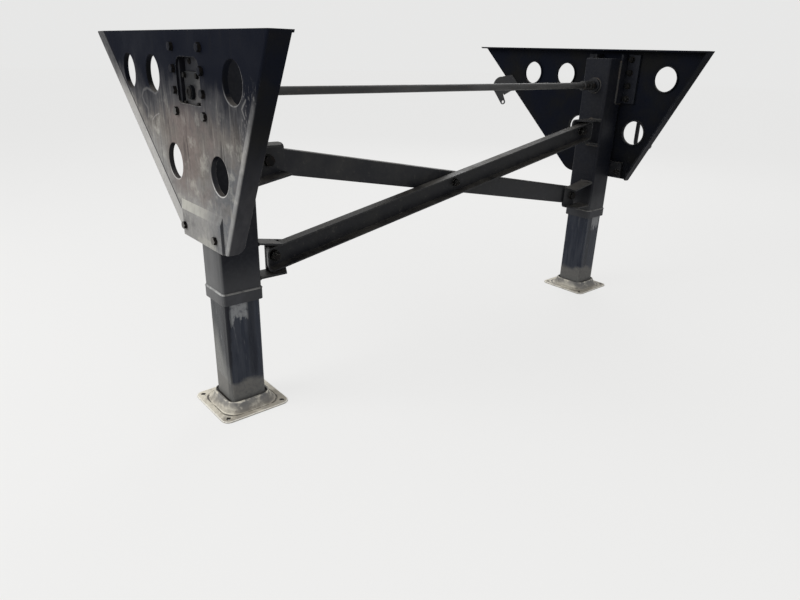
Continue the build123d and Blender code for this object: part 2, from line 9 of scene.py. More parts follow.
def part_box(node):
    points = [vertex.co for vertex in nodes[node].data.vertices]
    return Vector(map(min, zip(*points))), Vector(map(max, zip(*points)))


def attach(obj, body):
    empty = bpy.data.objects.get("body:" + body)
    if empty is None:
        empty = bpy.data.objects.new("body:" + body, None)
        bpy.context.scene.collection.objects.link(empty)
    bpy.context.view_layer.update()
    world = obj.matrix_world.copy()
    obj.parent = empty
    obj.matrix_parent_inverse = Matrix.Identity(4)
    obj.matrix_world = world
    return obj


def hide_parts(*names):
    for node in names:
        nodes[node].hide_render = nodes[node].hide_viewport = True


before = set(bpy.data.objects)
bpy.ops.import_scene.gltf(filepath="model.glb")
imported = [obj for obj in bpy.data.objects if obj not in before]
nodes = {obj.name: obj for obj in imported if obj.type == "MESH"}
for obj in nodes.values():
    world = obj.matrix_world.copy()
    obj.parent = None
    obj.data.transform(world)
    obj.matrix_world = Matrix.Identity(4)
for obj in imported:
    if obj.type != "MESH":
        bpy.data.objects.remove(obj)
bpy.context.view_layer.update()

# Looks of a semi-trailer landing gear. Metres; +X forward, +Y to the road side, +Z up.
# The origin is midway between the legs in the plane that bolts up under the chassis.

random.seed(7)

sides = {"right": -1, "left": 1}

# Places that several pieces share: out from the middle line, and up from the mounting plane
leg = {"y": 0.929, "tube": 0.127, "corner": 0.010}
legHalf = leg["tube"] / 2
outerFace = leg["y"] + legHalf
innerFace = leg["y"] - legHalf
wingFace = 1.01155
shaftZ = -0.153


# Studio

studio = {
    "floorZ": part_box("right_shoe")[0].z,
    "floorSize": 60.0,
    "floorColour": (0.80, 0.79, 0.77, 1),
    "floorRoughness": 0.9,
    "floorGlow": (0.89, 0.888, 0.88, 1),  # mixed into what the camera and mirrors see, to keep the floor pale
    "floorGlowShare": 0.80,
    "skyColour": (0.95, 0.97, 1.0, 1),
    "skyStrength": 0.50,
    "backdrop": (0.80, 0.80, 0.795, 1),
}

lamps = [  # name, place, looks at, size, watts
    ("keySoft", (-1.2, -4.6, 1.7), (0, -0.9, -0.5), 3.0, 150),
    ("frontFill", (3.8, -1.0, 1.2), (0, 0, -0.6), 2.6, 26),
    ("farRim", (-2.6, 3.4, 2.0), (0, 0.6, -0.5), 2.6, 45),
]

view = {  # camera fitted to the photograph, angles in degrees
    "focalPixels": 613.3,
    "pictureWidth": 800,
    "sensor": 36.0,
    "yaw": 49.29,
    "pitch": 21.99,
    "roll": -1.72,
    "place": (1.6708, -1.6892, -0.0388),
}


def aim(thing, target):
    thing.rotation_euler = (Vector(target) - thing.location).to_track_quat("-Z", "Y").to_euler()


def makeCamera():
    yaw, pitch, roll = (math.radians(view[key]) for key in ("yaw", "pitch", "roll"))
    ahead = Vector((-math.sin(yaw) * math.cos(pitch), math.cos(yaw) * math.cos(pitch), -math.sin(pitch)))
    level = Vector((math.cos(yaw), math.sin(yaw), 0))
    down = ahead.cross(level)
    right = math.cos(roll) * level + math.sin(roll) * down
    up = math.sin(roll) * level - math.cos(roll) * down
    data = bpy.data.cameras.new("photoCamera")
    data.sensor_width = view["sensor"]
    data.lens = view["focalPixels"] / view["pictureWidth"] * view["sensor"]
    camera = bpy.data.objects.new("photoCamera", data)
    bpy.context.scene.collection.objects.link(camera)
    turn = Matrix((right, up, -ahead)).transposed().to_4x4()
    camera.matrix_world = Matrix.Translation(view["place"]) @ turn
    bpy.context.scene.camera = camera


def seenRays(tree):
    # 1 for rays from the camera, a mirror or glass, 0 for the light that falls on the object
    path = tree.nodes.new("ShaderNodeLightPath")
    total = path.outputs["Is Camera Ray"]
    for name in ("Is Glossy Ray", "Is Transmission Ray"):
        add = tree.nodes.new("ShaderNodeMath")
        add.use_clamp = True
        tree.links.new(total, add.inputs[0])
        tree.links.new(path.outputs[name], add.inputs[1])
        total = add.outputs[0]
    return total


def makeFloor():
    half = studio["floorSize"] / 2
    mesh = bpy.data.meshes.new("studioFloor")
    corners = [(-half, -half), (half, -half), (half, half), (-half, half)]
    mesh.from_pydata([(x, y, studio["floorZ"]) for x, y in corners], [], [(0, 1, 2, 3)])
    floor = bpy.data.objects.new("studioFloor", mesh)
    bpy.context.scene.collection.objects.link(floor)
    paint = bpy.data.materials.new("studioFloor")
    paint.use_nodes = True
    tree = paint.node_tree
    shader = tree.nodes["Principled BSDF"]
    shader.inputs["Base Color"].default_value = studio["floorColour"]
    shader.inputs["Roughness"].default_value = studio["floorRoughness"]
    glow = tree.nodes.new("ShaderNodeEmission")
    glow.inputs["Color"].default_value = studio["floorGlow"]
    share = tree.nodes.new("ShaderNodeMath")
    share.operation = "MULTIPLY"
    share.inputs[1].default_value = studio["floorGlowShare"]
    tree.links.new(seenRays(tree), share.inputs[0])
    mix = tree.nodes.new("ShaderNodeMixShader")
    tree.links.new(share.outputs[0], mix.inputs[0])
    tree.links.new(shader.outputs[0], mix.inputs[1])
    tree.links.new(glow.outputs[0], mix.inputs[2])
    tree.links.new(mix.outputs[0], tree.nodes["Material Output"].inputs["Surface"])
    mesh.materials.append(paint)


def makeLights():
    for name, place, target, size, watts in lamps:
        light = bpy.data.lights.new(name, "AREA")
        light.size = size
        light.energy = watts
        lamp = bpy.data.objects.new(name, light)
        lamp.location = place
        bpy.context.scene.collection.objects.link(lamp)
        aim(lamp, target)

    world = bpy.data.worlds.new("softSky")
    world.use_nodes = True
    bpy.context.scene.world = world
    tree = world.node_tree
    sky = tree.nodes["Background"]
    sky.inputs["Color"].default_value = studio["skyColour"]
    sky.inputs["Strength"].default_value = studio["skyStrength"]
    seen = tree.nodes.new("ShaderNodeBackground")
    seen.inputs["Color"].default_value = studio["backdrop"]
    mix = tree.nodes.new("ShaderNodeMixShader")
    tree.links.new(seenRays(tree), mix.inputs[0])
    tree.links.new(sky.outputs[0], mix.inputs[1])
    tree.links.new(seen.outputs[0], mix.inputs[2])
    tree.links.new(mix.outputs[0], tree.nodes["World Output"].inputs["Surface"])


bpy.context.scene.view_settings.view_transform = "Standard"
makeCamera()
makeFloor()
makeLights()
print("studio and camera are set")


# Materials

class Recipe:
    # a material's node tree, with short calls for the nodes that the finishes share

    def __init__(self, name, shine, metal=0.0):
        self.material = bpy.data.materials.new(name)
        self.material.use_nodes = True
        self.tree = self.material.node_tree
        self.shader = self.tree.nodes["Principled BSDF"]
        self.shader.inputs["Specular IOR Level"].default_value = shine
        self.shader.inputs["Metallic"].default_value = metal
        self.place = self.add("ShaderNodeTexCoord").outputs["Object"]
        self.x, self.y, self.z = self.split(self.place)
        self.nx, self.ny, self.nz = self.split(self.add("ShaderNodeNewGeometry").outputs["True Normal"])

    def add(self, kind, **settings):
        node = self.tree.nodes.new(kind)
        for key, value in settings.items():
            setattr(node, key, value)
        return node

    def feed(self, socket, value):
        if isinstance(value, bpy.types.NodeSocket):
            self.tree.links.new(value, socket)
        else:
            socket.default_value = value

    def split(self, vector):
        node = self.add("ShaderNodeSeparateXYZ")
        self.feed(node.inputs[0], vector)
        return [node.outputs[letter] for letter in "XYZ"]

    def sums(self, operation, first, second=0.0):
        node = self.add("ShaderNodeMath", operation=operation)
        self.feed(node.inputs[0], first)
        self.feed(node.inputs[1], second)
        return node.outputs[0]

    def vectorSums(self, operation, *values):
        node = self.add("ShaderNodeVectorMath", operation=operation)
        for socket, value in zip(node.inputs, values):
            self.feed(socket, value)
        return node

    def chain(self, operation, values):
        total = values[0]
        for value in values[1:]:
            total = self.sums(operation, total, value)
        return total

    def plus(self, *values):
        return self.chain("ADD", values)

    def times(self, *values):
        return self.chain("MULTIPLY", values)

    def most(self, *values):
        return self.chain("MAXIMUM", values)

    def minus(self, first, second):
        return self.sums("SUBTRACT", first, second)

    def size(self, value):
        return self.sums("ABSOLUTE", value)

    def outward(self):
        # 1 on faces that look away from the trailer's middle line
        return self.ease(self.times(self.ny, self.sums("SIGN", self.y)), 0.35, 0.85)

    def legOffset(self):
        # how far a point is from its leg's axis, across the trailer
        return self.minus(self.size(self.y), leg["y"])

    def pastLine(self, x, across, up):
        # how far a point of the side view is past a line that crosses the mounting plane at x;
        # across and up are the line's normal
        return self.plus(self.times(self.minus(self.x, x), across), self.times(self.z, up))

    def cloud(self, scale, detail, rough, stretch=(1, 1, 1), shift=(0, 0, 0), tilt=(0, 0, 0)):
        node = self.add("ShaderNodeMapping")
        self.feed(node.inputs["Vector"], self.place)
        node.inputs["Scale"].default_value = stretch
        node.inputs["Location"].default_value = shift
        node.inputs["Rotation"].default_value = tilt
        pattern = self.add("ShaderNodeTexNoise")
        self.feed(pattern.inputs["Vector"], node.outputs["Vector"])
        pattern.inputs["Scale"].default_value = scale
        pattern.inputs["Detail"].default_value = detail
        pattern.inputs["Roughness"].default_value = rough
        return pattern.outputs["Fac"]

    def swing(self, cloud, amount):
        # a cloud's ups and downs about zero
        return self.times(self.minus(cloud, 0.5), amount)

    def ease(self, value, low, high, bottom=0.0, top=1.0):
        node = self.add("ShaderNodeMapRange", interpolation_type="SMOOTHSTEP")
        self.feed(node.inputs["Value"], value)
        for key, number in (("From Min", low), ("From Max", high), ("To Min", bottom), ("To Max", top)):
            node.inputs[key].default_value = number
        return node.outputs["Result"]

    def patchy(self, cloud, low, high):
        # a roughness that follows a cloud
        return self.ease(cloud, 0.3, 0.7, low, high)

    def within(self, value, low, high, soft):
        return self.times(self.ease(value, low - soft, low), self.ease(value, high + soft, high))

    def blend(self, amount, first, second):
        node = self.add("ShaderNodeMix", data_type="RGBA")
        self.feed(node.inputs["Factor"], amount)
        self.feed(node.inputs["A"], first)
        self.feed(node.inputs["B"], second)
        return node.outputs["Result"]

    def trail(self, points, width):
        # a soft line through (x, z) points on the near wing's face
        core = width * 0.15
        gaps = []
        for start, end in zip(points, points[1:]):
            along = Vector((end[0] - start[0], 0, end[1] - start[1]))
            origin = (start[0], -wingFace, start[1])
            offset = self.vectorSums("SUBTRACT", self.place, origin).outputs["Vector"]
            share = self.add("ShaderNodeClamp")
            dot = self.vectorSums("DOT_PRODUCT", offset, along / along.length_squared)
            self.feed(share.inputs["Value"], dot.outputs["Value"])
            reach = self.vectorSums("SCALE", along)
            self.feed(reach.inputs["Scale"], share.outputs["Result"])
            gaps.append(self.vectorSums("DISTANCE", offset, reach.outputs["Vector"]).outputs["Value"])
        return self.ease(self.chain("MINIMUM", gaps), width, core)

    def ringRound(self, x, z, radius, width):
        # a ring round a hole of either wing
        core = width * 0.4
        across, up = self.minus(self.x, x), self.minus(self.z, z)
        reach = self.sums("SQRT", self.plus(self.times(across, across), self.times(up, up)))
        return self.ease(self.size(self.minus(reach, radius)), width, core)

    def edge(self, radius):
        # 1 near an edge, where a rounded normal turns away from the face's own
        bevel = self.add("ShaderNodeBevel", samples=6)
        bevel.inputs["Radius"].default_value = radius
        flat = self.add("ShaderNodeNewGeometry").outputs["Normal"]
        match = self.vectorSums("DOT_PRODUCT", bevel.outputs["Normal"], flat)
        return self.ease(match.outputs["Value"], 0.999, 0.86)

    def dress(self, colour, roughness):
        self.feed(self.shader.inputs["Base Color"], colour)
        self.feed(self.shader.inputs["Roughness"], roughness)

    def bump(self, height, depth, strength, over=None):
        node = self.add("ShaderNodeBump")
        node.inputs["Strength"].default_value = strength
        node.inputs["Distance"].default_value = depth
        self.feed(node.inputs["Height"], height)
        if over is not None:
            self.feed(node.inputs["Normal"], over)
        self.feed(self.shader.inputs["Normal"], node.outputs["Normal"])
        return node.outputs["Normal"]


def tone(value, warm=0.0):
    return (value * (1 + warm), value, value * (1 - warm), 1)


wing = {
    "navy": (0.0050, 0.0062, 0.0110, 1),
    "grey": (0.062, 0.061, 0.064, 1),
    "brown": (0.148, 0.134, 0.121, 1),
    "chalk": (0.240, 0.234, 0.225, 1),
    "mauve": (0.165, 0.137, 0.126, 1),
    "slate": (0.104, 0.110, 0.119, 1),
    "cream": (0.42, 0.41, 0.365, 1),
    "brightTone": (0.52, 0.51, 0.49, 1),
    "dark": (0.0085, 0.0088, 0.0115, 1),
    # painted shade for the faces that look towards the middle line
    "inside": tone(0.010),
    "greyHeights": (-0.100, -0.212),  # where each tone sets in, and where it is full
    "brownHeights": (-0.190, -0.285),
    "chalkHeights": (-0.31, -0.47),
    "frontFold": (0.445, 0.894, -0.448),  # a line of the side view, as pastLine takes it
    "rearCrease": (-0.6723, -0.680, -0.733),
    "scratches": [  # (x, z) points on the near wing, width, strength
        ([(-0.222, -0.160), (-0.252, -0.172), (-0.284, -0.165), (-0.318, -0.160), (-0.352, -0.168),
          (-0.370, -0.186), (-0.356, -0.204), (-0.330, -0.218), (-0.326, -0.232), (-0.338, -0.246)],
         0.006, 0.10),
        ([(-0.300, -0.250), (-0.272, -0.236), (-0.240, -0.227)], 0.0028, 0.20),
        ([(0.322, -0.150), (0.300, -0.172), (0.312, -0.192)], 0.004, 0.18),
    ],
    "rims": [(0.148, -0.353, 0.85), (-0.148, -0.353, 0.6), (0.258, -0.116, 0.25)],  # hole's x and z, strength
    "rimRadius": 0.0530,
    "rimWidth": 0.0028,
    "rimSlant": 0.6,
}


def wingTones(r):
    # darkest under the chassis, partly painted shade, then brown, then chalky, which reaches higher at the
    # rear; all in runs
    wander = r.times(r.minus(r.plus(r.haze, r.runs), 1.0), 0.20)
    height = r.plus(r.z, r.times(r.x, 0.05), wander)
    low = r.plus(r.z, r.times(r.x, 0.33), wander)
    colour = r.blend(r.ease(height, *wing["greyHeights"]), wing["navy"], wing["grey"])
    colour = r.blend(r.ease(height, *wing["brownHeights"]), colour, wing["brown"])
    colour = r.blend(r.ease(low, *wing["chalkHeights"]), colour, wing["chalk"])
    patch = r.times(r.within(r.x, -0.13, 0.10, 0.10), r.within(r.z, -0.40, -0.24, 0.08))
    colour = r.blend(r.times(patch, r.ease(r.haze, 0.40, 0.58), 0.8), colour, wing["mauve"])
    corner = r.times(r.ease(r.x, 0.03, 0.15), r.ease(r.z, -0.24, -0.36))
    colour = r.blend(r.times(corner, r.ease(r.smear, 0.38, 0.56, 0.35, 1.0), 0.8), colour, wing["slate"])

    # smears and runs, light and dark
    light = r.times(r.ease(r.smear, 0.54, 0.68), r.ease(height, -0.12, -0.30), 0.42)
    colour = r.blend(light, colour, wing["cream"])
    dull = r.times(r.ease(r.smear, 0.44, 0.32), r.ease(height, -0.10, -0.28), 0.30)
    colour = r.blend(dull, colour, wing["grey"])
    pale = r.times(r.ease(r.thinRuns, 0.54, 0.70), r.ease(height, -0.12, -0.26), 0.26)
    colour = r.blend(pale, colour, wing["cream"])
    wet = r.times(r.ease(r.runs, 0.44, 0.34), r.ease(r.z, -0.48, -0.30), 0.5)
    colour = r.blend(wet, colour, wing["dark"])
    return r.blend(r.times(r.ease(r.grit, 0.35, 0.65), 0.14), colour, wing["dark"])


def wingMarks(r):
    # scuffs and scratches of the near wing, and a patch of both that is rubbed by the front fold
    near = r.ease(r.y, -0.5, -0.9)
    marks = [r.times(r.trail(points, width), near, strength) for points, width, strength in wing["scratches"]]
    lines = r.cloud(30.0, 5.0, 0.75, stretch=(5.0, 1.0, 1.4), tilt=(0, 0.5, 0))
    patch = r.times(r.ease(r.x, 0.24, 0.31), r.within(r.z, -0.33, -0.14, 0.05))
    return r.most(*marks, r.times(r.ease(lines, 0.55, 0.64), patch, 0.175))


def wingBands(r, colour):
    # a lighter band beside the front fold; the bent rear strip is a painted sheen past its crease, which is
    # painted shade
    fromFold = r.pastLine(*wing["frontFold"])
    band = r.times(r.within(fromFold, -0.014, -0.004, 0.005), r.ease(r.z, -0.12, -0.25))
    band = r.times(band, r.ease(r.smear, 0.3, 0.6, 0.4, 1.0), 0.30)
    colour = r.blend(band, colour, wing["brightTone"])
    fromCrease = r.pastLine(*wing["rearCrease"])
    behind = r.ease(r.x, -0.127, -0.131)
    strip = r.times(r.ease(fromCrease, 0.001, 0.005), behind, r.ease(r.z, -0.06, -0.30, 0.12, 0.55))
    # painted sheen on the bent rear strip, broken up by grit
    colour = r.blend(r.times(strip, r.ease(r.grit, 0.32, 0.6, 0.6, 1.0)), colour, wing["brightTone"])
    # painted shade along the crease
    crease = r.times(r.within(fromCrease, -0.004, 0.0, 0.002), behind, 0.75)
    return r.blend(crease, colour, wing["dark"])


def wingPad(r, colour):
    # the raised pad: pale dust on its sloping top, painted shade on its front step, and a painted highlight
    # with wear at its rear
    slope = r.times(r.within(r.nz, 0.12, 0.40, 0.05), r.within(r.z, -0.490, -0.460, 0.006))
    settled = r.times(slope, r.ease(r.x, 0.10, -0.06, 0.05, 0.8), r.ease(r.thinRuns, 0.30, 0.56, 0.6, 1.0))
    colour = r.blend(settled, colour, wing["cream"])
    # painted shade on the step's front-facing wall
    step = r.times(r.ease(r.nx, 0.35, 0.55), r.within(r.x, 0.132, 0.150, 0.004), r.ease(r.z, -0.44, -0.47))
    colour = r.blend(r.times(step, 0.8), colour, wing["dark"])
    # painted highlight along the rear bend, with wear
    rearLine = r.times(r.within(r.x, -0.131, -0.121, 0.003), r.ease(r.z, -0.47, -0.49))
    return r.blend(r.times(rearLine, 0.5), colour, wing["brightTone"])


def wingRims(r, colour):
    # hole rims painted bright on the lower front side: a painted highlight, with wear
    slant = r.plus(r.z, r.times(r.x, -wing["rimSlant"]))
    grain = r.ease(r.grit, 0.3, 0.5, 0.5, 1.0)
    for x, z, strength in wing["rims"]:
        middle = z - wing["rimSlant"] * x
        ring = r.ringRound(x, z, wing["rimRadius"], wing["rimWidth"])
        rim = r.times(ring, r.ease(slant, middle + 0.035, middle - 0.02), grain, strength)
        colour = r.blend(rim, colour, wing["brightTone"])
    return colour


def wingEdges(r, colour):
    # folds worn bright; the inside is painted near black as painted shade, with a greyer front flange and
    # dust on what faces up
    worn = r.times(r.edge(0.003), r.ease(r.grit, 0.42, 0.58, 0.15, 0.9), r.ease(r.z, -0.05, -0.30, 0.25, 1.0))
    colour = r.blend(r.times(worn, 0.55), colour, wing["brightTone"])
    inside = r.blend(r.ease(r.haze, 0.35, 0.7), wing["navy"], wing["inside"])
    front = r.times(r.ease(r.nx, 0.6, 0.8), r.ease(r.z, -0.18, -0.50), r.ease(r.runs, 0.3, 0.6, 0.7, 1.0))
    inside = r.blend(r.times(front, 0.75), inside, wing["grey"])
    top = r.times(r.ease(r.nz, 0.5, 0.9), r.ease(r.haze, 0.3, 0.6), 0.6)
    inside = r.blend(top, inside, wing["brown"])
    return r.blend(r.most(r.outward(), r.times(worn, 0.3)), inside, colour)


def wingPaint():
    r = Recipe("wingPaint", shine=0.02)
    r.haze = r.cloud(5.5, 6.0, 0.62)
    r.runs = r.cloud(9.0, 5.0, 0.62, stretch=(3.6, 3.6, 0.42))
    r.thinRuns = r.cloud(20.0, 4.0, 0.6, stretch=(4.0, 4.0, 0.4), shift=(2, 1, 4))
    r.smear = r.cloud(13.0, 6.0, 0.6, stretch=(1.0, 1.0, 1.3), shift=(4, 2, 1))
    r.grit = r.cloud(75.0, 5.0, 0.7)
    marks = wingMarks(r)
    colour = r.blend(marks, wingTones(r), wing["brightTone"])
    for finish in (wingBands, wingPad, wingRims, wingEdges):
        colour = finish(r, colour)
    r.dress(colour, r.patchy(r.haze, 0.52, 0.76))
    dents = r.bump(r.cloud(7.0, 3.0, 0.5, shift=(1, 4, 2)), 0.006, 0.35)
    r.bump(r.plus(r.grit, r.times(marks, 0.8)), 0.0006, 0.3, over=dents)
    return r.material


def framePaint():
    look = {
        "paint": (0.0075, 0.0080, 0.0105, 1),
        "faded": tone(0.022),
        "dust": (0.15, 0.138, 0.12, 1),
        "edge": tone(0.11, 0.03),
    }
    r = Recipe("framePaint", shine=0.2)
    haze = r.cloud(9.0, 6.0, 0.65)
    grit = r.cloud(65.0, 5.0, 0.68)
    colour = r.blend(r.ease(haze, 0.38, 0.72), look["paint"], look["faded"])
    colour = r.blend(r.times(r.ease(grit, 0.56, 0.74), 0.18), colour, look["dust"])
    laid = r.times(r.ease(r.nz, 0.45, 0.95), r.ease(haze, 0.28, 0.62), 0.372)
    colour = r.blend(laid, colour, look["dust"])
    worn = r.times(r.edge(0.002), r.ease(grit, 0.44, 0.60, 0.1, 0.8))
    colour = r.blend(r.times(worn, 0.7), colour, look["edge"])
    r.dress(colour, r.patchy(haze, 0.36, 0.60))
    r.bump(r.plus(grit, r.times(haze, 2.0)), 0.0006, 0.35)
    return r.material


def coverPaint():
    # oily and dark, dusted towards its lower front corner
    look = {
        "paint": (0.0060, 0.0068, 0.0090, 1),
        "dull": tone(0.022),
        "dust": (0.078, 0.075, 0.075, 1),
        "edge": tone(0.16, 0.02),
        "bossFrom": (1.0022, 1.0030),  # out past the cover's face
    }
    r = Recipe("coverPaint", shine=0.08)
    haze = r.cloud(24.0, 6.0, 0.65)
    grit = r.cloud(90.0, 5.0, 0.68)
    colour = r.blend(r.ease(haze, 0.38, 0.66), look["paint"], look["dull"])
    corner = r.plus(r.x, r.times(r.z, -0.9))
    dusted = r.times(r.outward(), r.ease(corner, 0.110, 0.185), r.ease(haze, 0.30, 0.55, 0.5, 1.0))
    colour = r.blend(r.times(dusted, 0.85), colour, look["dust"])
    worn = r.times(r.edge(0.0015), r.ease(grit, 0.42, 0.60, 0.1, 0.9))
    colour = r.blend(r.times(worn, 0.4), colour, look["edge"])
    boss = r.times(r.ease(r.size(r.y), *look["bossFrom"]), 0.92)
    colour = r.blend(boss, colour, look["paint"])
    r.dress(colour, r.patchy(haze, 0.34, 0.62))
    r.bump(r.plus(grit, r.times(haze, 2.0)), 0.0006, 0.35)
    return r.material


def legPaint(name, value):
    # dark and bluish, with a dusty film low on the outer side; value is how light the bare paint is
    look = {
        "paint": (value, value * 1.04, value * 1.3, 1),
        "dusty": tone(0.118),
        "dark": (0.006, 0.007, 0.011, 1),
        "edge": tone(0.10, 0.02),
    }
    r = Recipe(name, shine=0.10)
    haze = r.cloud(7.0, 6.0, 0.6)
    runs = r.cloud(12.0, 5.0, 0.6, stretch=(3.0, 3.0, 0.5))
    grit = r.cloud(90.0, 5.0, 0.68)
    low = r.ease(r.z, -0.24, -0.52)
    film = r.times(r.outward(), low, r.ease(runs, 0.28, 0.62, 0.75, 1.0))
    film = r.times(film, r.ease(r.x, 0.048, 0.018, 0.65, 1.0))
    colour = r.blend(r.ease(haze, 0.4, 0.7), look["dark"], look["paint"])
    settled = r.times(r.ease(r.plus(r.z, r.swing(haze, 0.06)), -0.595, -0.715), 0.28)  # towards the collar
    colour = r.blend(settled, colour, look["dusty"])
    colour = r.blend(film, colour, look["dusty"])
    colour = r.blend(r.times(r.ease(grit, 0.4, 0.7), 0.05), colour, look["dusty"])
    worn = r.times(r.edge(0.0025), r.ease(grit, 0.42, 0.6, 0.1, 0.8), low)
    colour = r.blend(r.times(worn, 0.5), colour, look["edge"])
    r.dress(colour, r.patchy(haze, 0.38, 0.58))
    r.bump(r.plus(grit, r.times(haze, 2.0)), 0.0005, 0.3)
    return r.material


tube = {
    "greaseInShade": (0.017, 0.021, 0.032, 1),
    "film": (0.034, 0.038, 0.049, 1),
    "sideFilmLit": (0.150, 0.149, 0.140, 1),
    "sideDull": (0.031, 0.033, 0.036, 1),
    "corner": (0.0045, 0.0052, 0.0080, 1),
    "scraped": (0.235, 0.238, 0.24, 1),
    "mud": (0.130, 0.126, 0.118, 1),
    "mudSideLit": (0.165, 0.160, 0.150, 1),
    "sideHeights": (-0.865, -0.985),  # where each of them sets in, and where it is full
    "scrapedHeights": (-0.850, -0.795),
    "mudHeights": (-1.005, -1.030),
}


def tubeTones(r):
    # greasy at the front, which is also darker as painted shade; the outer side is dull, with a film of dust
    # lower down and at the rear, and lighter as painted light
    front = r.blend(r.ease(r.runs, 0.40, 0.66), tube["greaseInShade"], tube["film"])
    height = r.plus(r.z, r.times(r.x, 1.8), r.swing(r.runs, 0.10))
    outer = r.blend(r.ease(height, *tube["sideHeights"]), tube["sideDull"], tube["sideFilmLit"])
    return r.blend(r.side, front, outer)


def tubeCorner(r):
    # painted shade down the outer front corner, where the rounded corner turns from the outer side to the
    # front, narrowing towards the foot
    corner = r.plus(r.x, r.offset, r.swing(r.flakes, 0.020))
    edgeLine = r.plus(r.times(r.side, -0.022), r.ease(r.z, -0.76, -0.97, 0.100, 0.106))
    band = r.ease(r.minus(corner, edgeLine), -0.002, 0.005)
    return r.times(band, r.most(r.ease(r.z, -0.995, -0.95), r.times(r.side, 0.5)))


def tubeScrape(r):
    # scraped pale under the collar, ragged below
    height = r.ease(r.plus(r.z, r.swing(r.thinRuns, 0.10)), *tube["scrapedHeights"])
    ragged = r.ease(r.plus(r.times(r.flakes, 0.75), r.times(height, 0.34)), 0.58, 0.68)
    field = r.times(r.within(r.offset, -0.006, 0.036, 0.012), r.front, height)
    return r.times(field, ragged, r.ease(r.grit, 0.30, 0.52, 0.45, 1.0), 0.85)


def tubeMud(r, colour, foot, band):
    # splashed dull at the foot; painted light makes the outer side's mud and the very bottom lighter, and the
    # corner's painted shade runs on into it
    mud = r.blend(r.side, tube["mud"], tube["mudSideLit"])
    mud = r.blend(r.times(r.side, band), mud, tube["sideDull"])
    mud = r.blend(r.ease(r.z, -1.045, -1.085, 0.0, 0.6), mud, tube["sideFilmLit"])
    return r.blend(r.times(foot, r.ease(r.grit, 0.3, 0.6, 0.7, 1.0)), colour, mud)


def tubeGreaseAndShade():
    r = Recipe("tubeGreaseAndShade", shine=0.15)
    r.runs = r.cloud(15.0, 5.0, 0.6, stretch=(3.2, 3.2, 0.35))
    r.thinRuns = r.cloud(36.0, 5.0, 0.65, stretch=(2.6, 2.6, 0.3), shift=(1, 3, 2))
    r.flakes = r.cloud(42.0, 6.0, 0.72, stretch=(1.6, 1.6, 0.9), shift=(3, 1, 1))
    r.grit = r.cloud(85.0, 5.0, 0.68)
    r.side = r.outward()
    r.front = r.ease(r.nx, 0.3, 0.7)
    r.offset = r.legOffset()
    band = tubeCorner(r)
    seep = r.times(r.within(r.offset, -0.030, -0.014, 0.010), r.front, r.ease(r.z, -1.03, -0.99), 0.45)
    # the corner band is painted shade
    colour = r.blend(r.most(r.times(band, 0.82), seep), tubeTones(r), tube["corner"])
    scraped = tubeScrape(r)
    colour = r.blend(scraped, colour, tube["scraped"])
    streak = r.times(r.ease(r.thinRuns, 0.60, 0.72), r.ease(r.z, -1.02, -0.88, 0.05, 0.32))
    colour = r.blend(streak, colour, tube["scraped"])
    foot = r.ease(r.plus(r.z, r.swing(r.cloud(10.0, 5.0, 0.6), 0.10)), *tube["mudHeights"])
    colour = tubeMud(r, colour, foot, band)
    worn = r.times(r.edge(0.0025), r.ease(r.grit, 0.42, 0.6, 0.0, 0.6), r.ease(r.z, -0.98, -1.03))
    colour = r.blend(worn, colour, tube["scraped"])
    r.dress(colour, r.most(r.times(r.most(foot, scraped), 0.62), r.ease(r.runs, 0.35, 0.65, 0.20, 0.42)))
    r.bump(r.plus(r.runs, r.times(r.grit, 0.3), r.times(scraped, -0.8)), 0.0008, 0.35)
    return r.material


shoe = {  # colours; widths are half the width of the pressing's rings, as its mesh keeps them
    "dust": (0.36, 0.325, 0.265, 1),
    "cream": (0.74, 0.69, 0.575, 1),
    "dome": (0.27, 0.255, 0.230, 1),
    "domeCool": (0.140, 0.136, 0.131, 1),
    "crease": (0.030, 0.026, 0.022, 1),
    "bright": (0.84, 0.81, 0.73, 1),
    "soilAndShade": (0.11, 0.095, 0.078, 1),
    "pocketShadeWidth": (0.0678, 0.0655),
    "rubbedWidth": (0.0705, 0.0745),
    "lowDomeWidth": (0.076, 0.090),
    "footWidth": (0.0865, 0.0895),
    "flangeWidth": (0.088, 0.093),
    "creaseWidth": (0.0940, 0.0956),
    "wornWidth": (0.1138, 0.1152),
    "rimWidth": (0.114, 0.116),
}


def shoeTones(r, width):
    # a pale flange and a duller dome, both paler and warmer at the rear
    flange = r.blend(r.ease(r.plus(r.haze, r.times(r.x, -1.2)), 0.40, 0.56), shoe["dust"], shoe["cream"])
    flange = r.blend(r.times(r.ease(r.blots, 0.52, 0.66), 0.5), flange, shoe["dome"])
    flange = r.blend(r.times(r.ease(r.grit, 0.58, 0.70), 0.35), flange, shoe["soilAndShade"])
    dome = r.blend(r.ease(r.plus(r.haze, r.times(r.x, -1.0)), 0.38, 0.60), shoe["domeCool"], shoe["dome"])
    dome = r.blend(r.times(r.ease(r.blots, 0.50, 0.66), 0.55), dome, shoe["cream"])
    dome = r.blend(r.times(r.ease(r.grit, 0.56, 0.70), 0.4), dome, shoe["soilAndShade"])
    lowDome = r.ease(r.plus(r.haze, r.times(r.x, -1.6)), 0.36, 0.54, 0.35, 0.95)
    dome = r.blend(r.times(r.ease(width, *shoe["lowDomeWidth"]), lowDome), dome, flange)
    return r.blend(r.ease(width, *shoe["flangeWidth"]), dome, flange)


